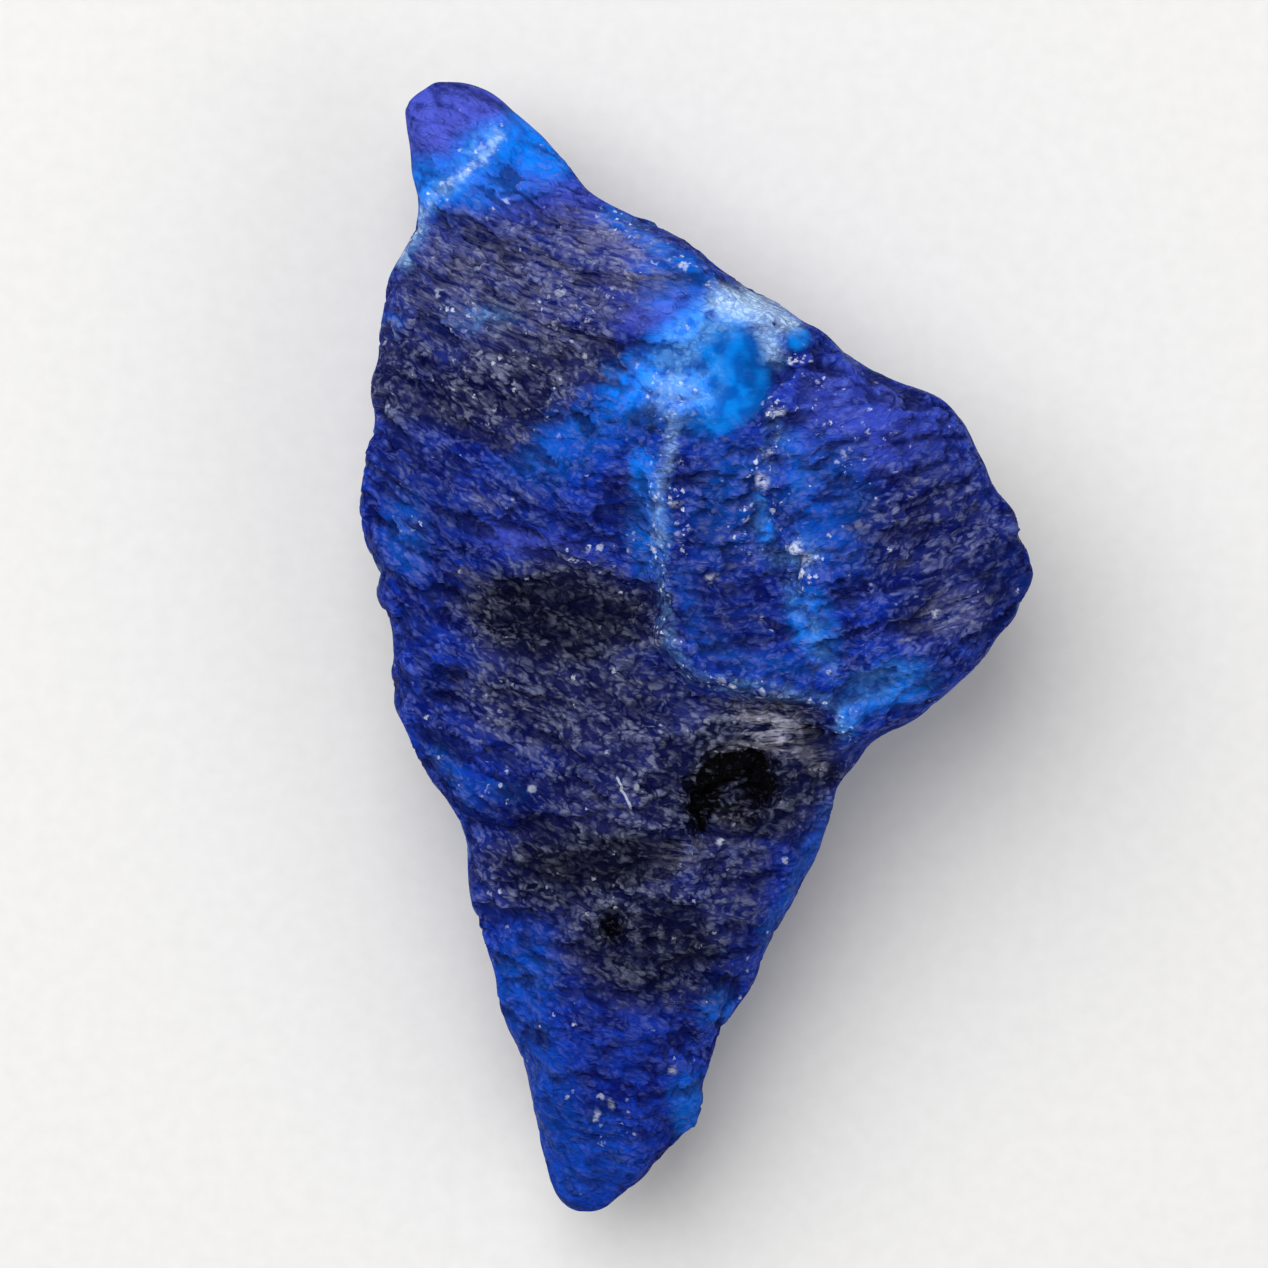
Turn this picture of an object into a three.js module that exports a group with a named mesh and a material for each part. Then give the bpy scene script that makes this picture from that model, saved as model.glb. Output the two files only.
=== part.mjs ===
// A rough shard of hauyne, the deep blue mineral, lying on its flattest side.
//
// Units are millimetres. +Z is up and +Y runs along the shard, from its pointed tail to its blunt
// head. The origin is on the resting face, under the middle of the shard's bounding box.
//
// The shard is one solid. It is lofted from cross-sections stacked along Y. Each section is a loop
// that runs over the front (the side that faces up) from the left edge to the right edge, and back
// under the shard to the left edge again.

import * as THREE from "three";
import { ImprovedNoise } from "three/addons/math/ImprovedNoise.js";

const { clamp, degToRad, lerp, smoothstep } = THREE.MathUtils;

// Driving dimensions: the finished shard fills exactly this box.
const LENGTH = 47.3;
const WIDTH = 28.2;
const HEIGHT = 13.2;

// How finely the loft is cut.
const ROW_STEP = 0.56; // between cross-sections
const END_STEPS = [0.1, 0.32, 0.64]; // the sections close to each end, from that end
const FRONT_STEPS = 38; // round each section, over the front
const BACK_STEPS = 18; // and back underneath
const LEVEL_WEIGHT = 0.35; // a level stretch of the back takes this share of a steep one's steps
const FINE_STEPS = 160; // the first reading of a section, before it is cut into equal steps

// Seen from above, the outline is two edges, each a list of [x, y] from the tail to the head.
const LEFT_EDGE = [
  [-4.65, -23.67], [-5.3, -23.4], [-5.95, -22.7], [-6.35, -21.4], [-6.85, -19.0], [-7.2, -17.3],
  [-7.9, -15.5], [-8.3, -14.8], [-8.4, -13.8], [-9.0, -11.8], [-9.35, -10.7], [-9.4, -9.2],
  [-9.5, -8.0], [-9.8, -6.9], [-11.1, -5.3], [-12.1, -3.4], [-12.55, -2.4], [-12.6, 0.3],
  [-12.7, 1.2], [-13.2, 1.8], [-13.3, 2.4], [-13.05, 3.1], [-13.8, 4.2], [-14.1, 5.7],
  [-13.85, 7.8], [-13.35, 9.3], [-13.5, 11.1], [-13.2, 11.8], [-13.2, 13.1], [-12.95, 14.9],
  [-12.15, 16.3], [-11.5, 17.8], [-11.45, 18.8], [-11.85, 21.2], [-12.15, 22.7], [-11.55, 23.1],
  [-10.65, 23.67],
];
const RIGHT_EDGE = [
  [-4.45, -23.67], [-3.65, -23.35], [-2.3, -22.25], [-0.9, -20.75], [0.0, -20.05], [0.35, -19.4],
  [0.4, -18.7], [0.2, -17.9], [0.7, -17.4], [0.75, -16.8], [1.5, -15.5], [2.2, -14.4],
  [3.05, -12.4], [4.25, -10.3], [5.1, -8.5], [5.65, -6.8], [5.95, -5.7], [6.75, -4.35],
  [7.1, -3.85], [7.8, -3.6], [8.8, -3.3], [9.85, -2.4], [10.85, -1.35], [12.1, -0.4],
  [12.25, 0.1], [13.3, 1.2], [13.7, 2.2], [14.05, 2.7], [14.05, 3.3], [13.8, 4.15],
  [13.35, 4.6], [13.45, 5.2], [13.1, 6.0], [12.4, 6.7], [11.4, 8.7], [10.4, 10.15],
  [9.4, 10.7], [7.1, 11.65], [6.1, 12.2], [5.1, 13.2], [3.2, 14.2], [1.1, 15.7],
  [-0.1, 16.7], [-2.0, 17.7], [-4.3, 18.85], [-5.1, 19.95], [-6.1, 21.3], [-7.0, 22.0],
  [-7.4, 22.3], [-7.8, 22.65], [-8.5, 23.15], [-9.1, 23.4], [-10.0, 23.67],
];

// The height of the outline's two edges, the widest part of each section, as [y, z].
const LEFT_RIM = [[-23.7, 4.4], [-15, 5.8], [-7, 7.2], [0, 7.8], [8, 7.9], [15, 7.3], [23.7, 6.0]];
const RIGHT_RIM = [
  [-23.7, 4.4], [-15, 6.2], [-8, 7.4], [-4, 8.8], [0, 10.0], [5, 10.4], [11, 10.2], [17, 8.6],
  [23.7, 6.0],
];
const RIM_WANDER = { wavelength: 4.6, height: 0.8 }; // the rim rises and falls along the outline
const FRONT_SHOULDER = 1.5; // how far in from the outline the front reaches its full height
const BACK_SHOULDER = { least: 1.0, most: 3.4, wavelength: 5.2 }; // it varies from place to place
const LEAST_RISE = 0.7; // the front and the back stay at least this far from the rim's height

// Spot heights of the front, as on a map: [x, y, z]. The surface runs smoothly between them.
const SPOT_REACH = 2.6;
const SPOTS = [
  // the head, and the shallow neck below it
  [-10.3, 22.3, 7.6], [-8.0, 21.0, 7.9], [-10.4, 19.6, 7.7], [-6.4, 19.0, 8.2], [-9.0, 18.4, 7.9],
  // the upper left side
  [-10.4, 16.0, 9.0], [-6.8, 16.0, 10.1], [-3.4, 16.2, 10.5], [-11.4, 12.6, 8.9],
  [-7.6, 13.0, 10.3], [-4.0, 12.4, 10.9], [-10.8, 9.2, 9.1], [-6.8, 9.4, 10.1],
  // the crest and the raised wing to its right
  [-0.6, 14.4, 11.5], [2.0, 12.4, 12.0], [5.0, 11.8, 12.2], [-1.4, 9.2, 11.8], [2.0, 8.2, 12.0],
  [7.4, 8.4, 12.6], [10.8, 7.6, 11.7], [6.2, 4.2, 12.7], [11.2, 4.2, 11.7], [8.6, 0.6, 12.1],
  // the trough down the middle of the wing
  [1.0, 5.4, 11.5], [1.0, 2.4, 11.3], [3.0, -0.4, 11.6], [6.0, -1.0, 11.8],
  // the left side
  [-4.4, 6.4, 11.0], [-9.6, 5.2, 9.6], [-5.4, 2.2, 9.6], [-11.0, 1.4, 9.0], [-9.0, -1.6, 9.4],
  [-4.4, -1.4, 10.2], [-9.6, -4.4, 8.5],
  // the lower body
  [-1.6, -4.4, 10.3], [3.8, -4.6, 9.9], [-6.4, -6.6, 9.2], [-2.0, -8.4, 9.8], [3.6, -8.2, 8.7],
  [-7.0, -11.0, 8.1], [-3.4, -12.0, 9.0], [0.8, -12.4, 8.2],
  // the tail
  [-6.0, -15.4, 7.5], [-2.4, -15.8, 8.1], [-3.4, -19.2, 7.2], [-4.6, -22.2, 6.1],
];

// The wing ends in a ledge on its left and lower sides: [x, y, drop], with the wing on the left of
// a walk along it. The ground is sunk by that drop at its foot, and comes back up further out.
const LEDGE = [
  [-1.3, 9.2, 0], [-1.4, 5.6, 0.8], [-1.1, 2.0, 1.0], [-0.9, 0.2, 1.1], [0.2, -1.4, 1.3],
  [2.3, -1.8, 1.5], [4.4, -2.0, 1.7], [6.3, -2.5, 1.5], [7.6, -3.3, 0.8],
];
const LEDGE_FACE = 0.9; // how far out from its lip the ledge reaches its foot
const LEDGE_REACH = 2.6; // and how quickly the ground comes back up beyond it

// Low ridges and grooves of the front, each a line of [x, y] with its height and half-width.
const RIDGES = [
  { height: 0.4, halfWidth: 0.55, line: LEDGE },
  { height: 0.4, halfWidth: 0.6, line: [[3.3, 10.4], [3.2, 8.0], [4.2, 4.3], [5.2, 0.4], [6.4, -2.2]] },
  { height: 0.5, halfWidth: 0.9, line: [[-8.4, 8.2], [-5.2, 10.2], [-2.4, 12.0], [0.2, 14.0]] },
  { height: 0.5, halfWidth: 0.7, line: [[-11.6, -0.8], [-9.4, -0.2], [-6.0, -0.2], [-2.6, 0.6]] },
  { height: 0.4, halfWidth: 0.7, line: [[-9.6, -5.2], [-6.6, -6.0], [-3.6, -5.4]] },
  { height: 0.4, halfWidth: 0.7, line: [[-0.6, -9.6], [1.6, -8.2], [4.4, -6.6], [5.6, -5.0]] },
  { height: 0.35, halfWidth: 0.7, line: [[-7.4, -9.2], [-4.2, -9.6], [-1.6, -8.9]] },
  { height: -0.5, halfWidth: 0.6, line: [[-10.6, 17.4], [-7.6, 16.2], [-4.6, 14.8]] },
  { height: -0.5, halfWidth: 0.6, line: [[-10.0, 12.4], [-6.0, 12.4], [-3.0, 11.4]] },
  { height: -0.5, halfWidth: 0.7, line: [[-11.4, 9.6], [-8.4, 8.6], [-6.6, 8.6]] },
  { height: -0.35, halfWidth: 0.6, line: [[-11.4, 6.0], [-8.8, 5.4], [-6.4, 4.2]] },
  { height: -0.5, halfWidth: 0.5, line: [[7.6, 3.0], [9.8, 4.2], [12.4, 5.8]] },
  { height: -0.4, halfWidth: 0.5, line: [[8.2, 0.8], [10.4, 1.9], [12.6, 2.6]] },
  { height: -0.4, halfWidth: 0.6, line: [[-10.8, -2.8], [-8.2, -2.6], [-5.6, -3.2]] },
];

// Pits and knobs of the front: a middle, half-sizes along and across, a turn in degrees, and how
// deep (or, where negative, how high) each is. wall is the share of its half-size that slopes.
const PITS = [
  { x: 1.5, y: -5.8, along: 2.1, across: 1.8, turn: 25, depth: 1.6, wall: 0.5 }, // the main hollow
  { x: 0.6, y: -6.1, along: 1.0, across: 1.7, turn: -15, depth: 2.0, wall: 0.7 }, // its deep left
  { x: 2.4, y: -5.2, along: 1.1, across: 1.2, turn: 20, depth: 1.8, wall: 0.7 }, // and right
  { x: -3.5, y: -11.6, along: 0.9, across: 1.0, turn: 0, depth: 1.2, wall: 0.8 },
  { x: 0.0, y: -13.6, along: 1.2, across: 0.8, turn: 20, depth: 0.6, wall: 1 },
  { x: -7.4, y: 2.0, along: 2.0, across: 1.2, turn: -12, depth: 0.9, wall: 1 },
  { x: -10.3, y: -2.9, along: 1.1, across: 0.9, turn: 0, depth: 0.5, wall: 1 },
  { x: 2.2, y: 11.4, along: 2.5, across: 1.9, turn: -60, depth: 0.6, wall: 1 }, // a smooth scoop
  { x: 3.6, y: -3.7, along: 1.9, across: 1.1, turn: 14, depth: -0.9, wall: 1 }, // a knob under
];

// Fracture faces that cut the front: a point [x, y, z] on each, the way it dips in degrees
// anticlockwise from +X, how steeply, and how far it reaches to either side before it runs out.
const FRONT_FACES = [
  { at: [11.3, 0.7, 11.4], towards: -32, dip: 30, reach: 2.2 },
  { at: [12.2, 5.6, 11.4], towards: 8, dip: 34, reach: 1.8 },
  { at: [4.4, -9.4, 8.5], towards: -26, dip: 22, reach: 4.2 },
  { at: [6.6, -4.6, 9.6], towards: -38, dip: 24, reach: 1.6 },
  { at: [-0.6, -20.0, 6.7], towards: -38, dip: 24, reach: 2.4 },
  { at: [-7.0, -14.6, 7.3], towards: 200, dip: 20, reach: 3.4 },
  { at: [-12.2, 12.4, 8.8], towards: 174, dip: 30, reach: 3.0 },
  { at: [-12.9, 4.6, 8.9], towards: 184, dip: 30, reach: 2.2 },
  { at: [-10.4, 22.6, 7.4], towards: 104, dip: 26, reach: 2.0 },
];
const FACE_CURL = 0.25; // how fast a face lifts away past its reach

// Fracture faces of the back, which rise from the resting face: a point [x, y] where each leaves
// the resting plane, the way it rises, and how steeply. The gentle ones lie within the steep ones.
const BACK_FACES = [
  { at: [-2.6, -5.6], towards: -102, rise: 7 },
  { at: [-3.2, -16.4], towards: -112, rise: 20 },
  { at: [-7.2, 1.0], towards: 188, rise: 10 },
  { at: [-6.6, 9.6], towards: 140, rise: 11 },
  { at: [-5.4, 15.4], towards: 112, rise: 22 },
  { at: [4.8, 7.6], towards: 38, rise: 12 },
  { at: [5.4, 1.4], towards: -36, rise: 13 },
  { at: [-9.6, 4.4], towards: 178, rise: 54 },
  { at: [-9.2, 12.6], towards: 166, rise: 50 },
  { at: [-8.2, -5.4], towards: 203, rise: 56 },
  { at: [-5.4, -15.6], towards: 196, rise: 52 },
  { at: [0.6, 11.6], towards: 56, rise: 52 },
  { at: [9.8, 6.8], towards: 24, rise: 58 },
  { at: [9.4, 0.6], towards: -34, rise: 55 },
  { at: [3.6, -5.2], towards: -30, rise: 57 },
  { at: [-1.4, -15.8], towards: -24, rise: 50 },
];
const BASE_SINK = 0.35; // the resting face is cut this far into the rough back

// Roughness. Each kind has a wavelength and a height; the ripples are drawn out along X.
const LUMPS = { wavelength: 4.2, height: 0.34 };
const BUMPS = { wavelength: 1.7, height: 0.2 };
const RIPPLES = { across: 1.3, along: 2.4, height: 0.22, sag: 0.018, middle: 2.5 };
const BACK_LUMPS = { wavelength: 6.5, height: 0.9 };
const RIM_CALM = { share: 0.25, width: 1.3 }; // roughness left at the outline, and where it is full

const perlin = new ImprovedNoise();

/** Noise of about -1 to 1 that repeats its lumps at this wavelength, or at one per axis. */
function noise(x, y, z, wavelengthX, wavelengthY = wavelengthX, wavelengthZ = wavelengthX) {
  return 1.5 * perlin.noise(x / wavelengthX, y / wavelengthY, z / wavelengthZ);
}

/** Reads y off a list of [x, y] at x, in straight lines. The list's x must rise. */
function readOff(list, x) {
  let i = 1;
  while (i < list.length - 1 && list[i][0] < x) i += 1;
  const [x0, y0] = list[i - 1];
  const [x1, y1] = list[i];
  return lerp(y0, y1, clamp((x - x0) / (x1 - x0), 0, 1));
}

const byHeight = (edge) => edge.map(([x, y]) => [y, x]);
const leftEdge = byHeight(LEFT_EDGE);
const rightEdge = byHeight(RIGHT_EDGE);
const outline = [...LEFT_EDGE, ...RIGHT_EDGE.toReversed()];

/** The nearest point of a line of [x, y, value]: its distance, which side (x, y) is on, and value. */
function nearestOn(line, x, y) {
  const best = { distance: Infinity, side: 1, value: 0 };
  for (let i = 1; i < line.length; i += 1) {
    const [ax, ay, aValue = 0] = line[i - 1];
    const [bx, by, bValue = 0] = line[i];
    const dx = bx - ax;
    const dy = by - ay;
    const t = clamp(((x - ax) * dx + (y - ay) * dy) / (dx * dx + dy * dy), 0, 1);
    const distance = Math.hypot(x - ax - t * dx, y - ay - t * dy);
    if (distance < best.distance) {
      best.distance = distance;
      best.side = Math.sign(dx * (y - ay) - dy * (x - ax)) || 1;
      best.value = lerp(aValue, bValue, t);
    }
  }
  return best;
}

/** How far (x, y) lies along a direction in degrees from a point. */
function distanceAlong(x, y, [atX, atY], degrees) {
  const turn = degToRad(degrees);
  return (x - atX) * Math.cos(turn) + (y - atY) * Math.sin(turn);
}

function spotHeight(x, y) {
  let total = 0;
  let weights = 0;
  for (const [spotX, spotY, z] of SPOTS) {
    const away = Math.hypot(x - spotX, y - spotY) / SPOT_REACH;
    const weight = Math.exp(-away * away) + 1e-6 / (1 + away ** 4);
    total += weight * z;
    weights += weight;
  }
  return total / weights;
}

function ledgeSink(x, y) {
  const { distance, side, value: drop } = nearestOn(LEDGE, x, y);
  if (side > 0) return 0;
  return drop * smoothstep(distance, 0, LEDGE_FACE) * Math.exp(-distance / LEDGE_REACH);
}

function ridgeRise(x, y) {
  return RIDGES.reduce((rise, { height, halfWidth, line }) => {
    const away = nearestOn(line, x, y).distance / halfWidth;
    return rise + height * Math.exp(-away * away);
  }, 0);
}

function pitDepth(x, y) {
  return PITS.reduce((sum, pit) => {
    const along = distanceAlong(x, y, [pit.x, pit.y], pit.turn) / pit.along;
    const across = distanceAlong(x, y, [pit.x, pit.y], pit.turn + 90) / pit.across;
    const out = Math.hypot(along, across);
    return sum + pit.depth * (1 - smoothstep(out, 1 - pit.wall, 1));
  }, 0);
}

/** Ripples of the fracture, which sag in the middle and fan out to both sides. */
function ripple(x, y, z) {
  const { across, along, height, sag, middle } = RIPPLES;
  const fanned = y - sag * (x - middle) ** 2;
  return height * noise(x + 31, fanned, z, along, across, along);
}

/** The front's height where it is well inside the outline. */
function frontHeight(x, y) {
  let z = spotHeight(x, y) - ledgeSink(x, y) + ridgeRise(x, y) - pitDepth(x, y);
  for (const { at, towards, dip, reach } of FRONT_FACES) {
    const fall = distanceAlong(x, y, at, towards) * Math.tan(degToRad(dip));
    const past = Math.max(Math.abs(distanceAlong(x, y, at, towards + 90)) - reach, 0);
    z = Math.min(z, at[2] - fall + FACE_CURL * past * past);
  }
  return z;
}

/** The back's height where it is well inside the outline, with the resting face cut flat at 0. */
function backHeight(x, y) {
  let z = 0;
  for (const { at, towards, rise } of BACK_FACES) {
    z = Math.max(z, distanceAlong(x, y, at, towards) * Math.tan(degToRad(rise)));
  }
  const rough = BACK_LUMPS.height * noise(x, y, 9, BACK_LUMPS.wavelength);
  return Math.max(0, z + rough - BASE_SINK);
}

/** A quarter round: 0 at the outline, 1 from width inwards. */
function shoulder(distance, width) {
  const short = 1 - Math.min(distance / width, 1);
  return Math.sqrt(1 - short * short);
}

/** The height of the widest part at y, where share runs from 0 at the left edge to 1 at the right. */
function rimHeight(y, share) {
  const { wavelength, height } = RIM_WANDER;
  const left = readOff(LEFT_RIM, y) + height * noise(y, 3, 0, wavelength);
  const right = readOff(RIGHT_RIM, y) + height * noise(y, 40, 0, wavelength);
  return lerp(left, right, share);
}

/** How far in from the outline the back takes to drop to its full depth. */
function backShoulder(x, y) {
  const { least, most, wavelength } = BACK_SHOULDER;
  return lerp(least, most, 0.5 + 0.5 * noise(x, y, 21, wavelength));
}

function sectionPoint(y, share, isFront) {
  const x = lerp(readOff(leftEdge, y), readOff(rightEdge, y), share);
  const rim = rimHeight(y, share);
  const inside = nearestOn(outline, x, y).distance;
  const z = isFront
    ? rim + Math.max(frontHeight(x, y) - rim, LEAST_RISE) * shoulder(inside, FRONT_SHOULDER)
    : rim - Math.max(rim - backHeight(x, y), LEAST_RISE) * shoulder(inside, backShoulder(x, y));
  return new THREE.Vector3(x, y, z);
}

/** One side of the section at y, from edge to edge, cut into equal steps of weighted length. */
function sectionSide(y, isFront, steps) {
  const fine = [];
  for (let i = 0; i <= FINE_STEPS; i += 1) {
    const share = (1 - Math.cos((Math.PI * i) / FINE_STEPS)) / 2;
    fine.push(sectionPoint(y, share, isFront));
  }
  const reached = [0];
  for (let i = 1; i < fine.length; i += 1) {
    const length = fine[i].distanceTo(fine[i - 1]);
    const steepness = Math.abs(fine[i].z - fine[i - 1].z) / (length || 1);
    const weight = isFront ? 1 : lerp(LEVEL_WEIGHT, 1, steepness);
    reached.push(reached[i - 1] + weight * length);
  }
  const side = [];
  for (let step = 0, i = 1; step <= steps; step += 1) {
    const target = (reached.at(-1) * step) / steps;
    while (i < fine.length - 1 && reached[i] < target) i += 1;
    const t = clamp((target - reached[i - 1]) / (reached[i] - reached[i - 1] || 1), 0, 1);
    side.push(new THREE.Vector3().lerpVectors(fine[i - 1], fine[i], t));
  }
  return side;
}

/** The whole loop of the section at y: the front from left to right, then the back. */
function section(y) {
  const front = sectionSide(y, true, FRONT_STEPS);
  const back = sectionSide(y, false, BACK_STEPS).reverse();
  return [...front, ...back.slice(1, -1)];
}

/** Where the sections are: even steps along the shard, and a few more at each end. */
function sectionPlaces() {
  const tail = LEFT_EDGE[0][1];
  const head = LEFT_EDGE.at(-1)[1];
  const first = tail + 2 * ROW_STEP;
  const last = head - 2 * ROW_STEP;
  const count = Math.round((last - first) / ROW_STEP);
  const even = Array.from({ length: count + 1 }, (_, i) => lerp(first, last, i / count));
  const fromTail = END_STEPS.map((step) => tail + step);
  const fromHead = END_STEPS.map((step) => head - step).reverse();
  return [...fromTail, ...even, ...fromHead];
}

/** Joins the sections into one closed surface, with a fan over each end. */
function loft(sections) {
  const around = sections[0].length;
  const points = sections.flat();
  const faces = [];
  for (let row = 1; row < sections.length; row += 1) {
    for (let i = 0; i < around; i += 1) {
      const next = (i + 1) % around;
      const a = (row - 1) * around + i;
      const b = (row - 1) * around + next;
      const c = row * around + i;
      const d = row * around + next;
      // The shorter diagonal follows the relief better.
      if (points[a].distanceTo(points[d]) < points[b].distanceTo(points[c])) {
        faces.push(a, b, d, a, d, c);
      } else {
        faces.push(a, b, c, b, d, c);
      }
    }
  }
  for (const [row, isTail] of [[0, true], [sections.length - 1, false]]) {
    const middle = new THREE.Vector3();
    sections[row].forEach((point) => middle.addScaledVector(point, 1 / around));
    const hub = points.push(middle) - 1;
    for (let i = 0; i < around; i += 1) {
      const here = row * around + i;
      const next = row * around + ((i + 1) % around);
      faces.push(...(isTail ? [hub, next, here] : [hub, here, next]));
    }
  }
  const geometry = new THREE.BufferGeometry().setFromPoints(points);
  geometry.setIndex(faces);
  return geometry;
}

/** Pushes the surface in and out along its normals, except on the resting face. */
function roughen(geometry) {
  geometry.computeVertexNormals();
  const position = geometry.getAttribute("position");
  const normal = geometry.getAttribute("normal");
  const point = new THREE.Vector3();
  const outwards = new THREE.Vector3();
  for (let i = 0; i < position.count; i += 1) {
    point.fromBufferAttribute(position, i);
    if (point.z < 1e-6) continue;
    outwards.fromBufferAttribute(normal, i);
    const { x, y, z } = point;
    const push =
      LUMPS.height * noise(x, y, z, LUMPS.wavelength) +
      BUMPS.height * noise(x + 50, y, z, BUMPS.wavelength) +
      ripple(x, y, z);
    const inside = nearestOn(outline, x, y).distance;
    const below = z - rimHeight(y, x < 0 ? 0 : 1);
    const calm = lerp(RIM_CALM.share, 1, smoothstep(Math.hypot(inside, below), 0, RIM_CALM.width));
    point.addScaledVector(outwards, push * calm);
    position.setXYZ(i, point.x, point.y, Math.max(point.z, 0));
  }
  geometry.deleteAttribute("normal");
}

/** Brings the shard to its driving dimensions and its origin. */
function fit(geometry) {
  geometry.computeBoundingBox();
  const box = geometry.boundingBox;
  const size = box.getSize(new THREE.Vector3());
  const middle = box.getCenter(new THREE.Vector3());
  geometry.translate(-middle.x, -middle.y, -box.min.z);
  geometry.scale(WIDTH / size.x, LENGTH / size.y, HEIGHT / size.z);
}

function makeStone() {
  const geometry = loft(sectionPlaces().map(section));
  roughen(geometry);
  fit(geometry);
  geometry.computeVertexNormals();
  const blue = new THREE.MeshStandardMaterial({ color: 0x1f2f86, roughness: 0.5, metalness: 0 });
  const stone = new THREE.Mesh(geometry, blue);
  stone.name = "hauyne_stone";
  return stone;
}

const specimen = new THREE.Group();
specimen.name = "hauyne_specimen";
specimen.add(makeStone());

export default specimen;
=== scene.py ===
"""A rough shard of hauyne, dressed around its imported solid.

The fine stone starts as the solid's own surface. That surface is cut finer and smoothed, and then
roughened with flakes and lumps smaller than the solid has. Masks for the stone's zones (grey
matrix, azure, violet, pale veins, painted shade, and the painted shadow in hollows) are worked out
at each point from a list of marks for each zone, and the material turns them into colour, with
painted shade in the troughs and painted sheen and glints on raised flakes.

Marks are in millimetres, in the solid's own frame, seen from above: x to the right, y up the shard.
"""

import math

import bpy
import numpy as np
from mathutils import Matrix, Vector


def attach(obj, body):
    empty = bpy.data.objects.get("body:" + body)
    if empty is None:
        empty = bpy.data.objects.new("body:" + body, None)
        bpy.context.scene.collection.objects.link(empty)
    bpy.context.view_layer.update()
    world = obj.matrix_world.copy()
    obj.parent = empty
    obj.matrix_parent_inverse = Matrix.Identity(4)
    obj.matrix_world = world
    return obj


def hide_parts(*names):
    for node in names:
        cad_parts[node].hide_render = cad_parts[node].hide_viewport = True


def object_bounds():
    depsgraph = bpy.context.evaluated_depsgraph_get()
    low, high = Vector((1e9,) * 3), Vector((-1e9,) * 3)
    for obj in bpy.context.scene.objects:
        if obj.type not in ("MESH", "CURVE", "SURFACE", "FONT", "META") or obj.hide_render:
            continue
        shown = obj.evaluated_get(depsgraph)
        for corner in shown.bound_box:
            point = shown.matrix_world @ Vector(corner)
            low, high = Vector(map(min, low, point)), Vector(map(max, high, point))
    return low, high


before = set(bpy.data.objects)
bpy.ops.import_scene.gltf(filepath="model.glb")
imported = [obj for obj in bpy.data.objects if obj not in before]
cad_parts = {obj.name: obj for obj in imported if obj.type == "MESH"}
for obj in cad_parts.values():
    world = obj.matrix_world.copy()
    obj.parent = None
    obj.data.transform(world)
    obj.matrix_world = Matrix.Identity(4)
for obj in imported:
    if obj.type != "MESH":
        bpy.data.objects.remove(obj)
cad_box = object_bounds()

MM = 0.001
NODE = "hauyne_stone"

# ---------------------------------------------------------------------------------------------
# Noise

# The hash: a large factor for each axis and for the seed, and rounds of a shift and a factor
AXIS_FACTORS = (73856093, 19349663, 83492791)
SEED_FACTOR = 2654435761
ROUNDS = ((16, 0x45D9F3B), (15, 0x2C1B3C6D))
LAST_SHIFT = 16
MASK = 0xFFFFFFFF

NOISE_GAIN = 1.4  # brings smooth noise to about -1 to 1
LAYER_SEED = 7  # each layer's seed is this much past the one before
TILT_SEED = 11  # a flake's tilt has a seed this much past its place's
CELL_JITTER = 0.45  # how far a flake's middle may be from its cell's


def hashed(cells, seed):
    """A number from 0 to 1 for each whole-number cell, always the same for the same cell."""
    x, y, z = (cells[:, axis] * factor for axis, factor in enumerate(AXIS_FACTORS))
    mixed = (x ^ y ^ z ^ seed * SEED_FACTOR) & MASK
    for shift, factor in ROUNDS:
        mixed = ((mixed ^ (mixed >> shift)) * factor) & MASK
    return (mixed ^ (mixed >> LAST_SHIFT)) / MASK


def random_vectors(cells, seed):
    """A vector with parts from -1 to 1 for each cell."""
    return np.stack([2 * hashed(cells, seed + axis) - 1 for axis in range(3)], axis=1)


def smooth_noise(points, seed):
    """Gradient noise, about -1 to 1, with lumps about one unit across."""
    cells = np.floor(points).astype(np.int64)
    part = points - cells
    fade = part**3 * (part * (part * 6 - 15) + 10)
    total = np.zeros(len(points))
    for corner in np.ndindex(2, 2, 2):
        weight = np.prod(np.where(corner, fade, 1 - fade), axis=1)
        slope = random_vectors(cells + corner, seed)
        total += weight * ((part - corner) * slope).sum(axis=1)
    return NOISE_GAIN * total


def layered_noise(points, seed, layers=3):
    """Smooth noise with finer layers added, each half as wide and half as high."""
    total = sum(smooth_noise(points * 2**i, seed + LAYER_SEED * i) / 2**i for i in range(layers))
    return total / (2 - 2 ** (1 - layers))


def flakes(points, seed, lean, tilt):
    """Flat flakes about one unit across that overlap like shingles, as heights.

    Each one leans by the same vector and is tilted its own way as well.
    """
    cells = np.floor(points).astype(np.int64)
    nearest = np.full(len(points), np.inf)
    height = np.zeros(len(points))
    for step in np.ndindex(3, 3, 3):
        near = cells + step - 1
        centre = near + 0.5 + CELL_JITTER * random_vectors(near, seed)
        away = points - centre
        distance = (away**2).sum(axis=1)
        slope = tilt * random_vectors(near, seed + TILT_SEED) + lean
        height = np.where(distance < nearest, (away * slope).sum(axis=1), height)
        nearest = np.minimum(nearest, distance)
    return height


# ---------------------------------------------------------------------------------------------
# The fine mesh

SUBDIVISIONS = 2
SAME_POINT = 4  # the solid's points are one where they agree to this many decimals of a mm

RIPPLE_SAG = 0.02  # ripples sag in the middle of the shard and fan out to both sides, per mm
RIPPLE_MIDDLE = 2.5  # where that middle is, along x
RIPPLE_STRETCH = 1.9  # and they are this much longer than they are wide


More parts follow.
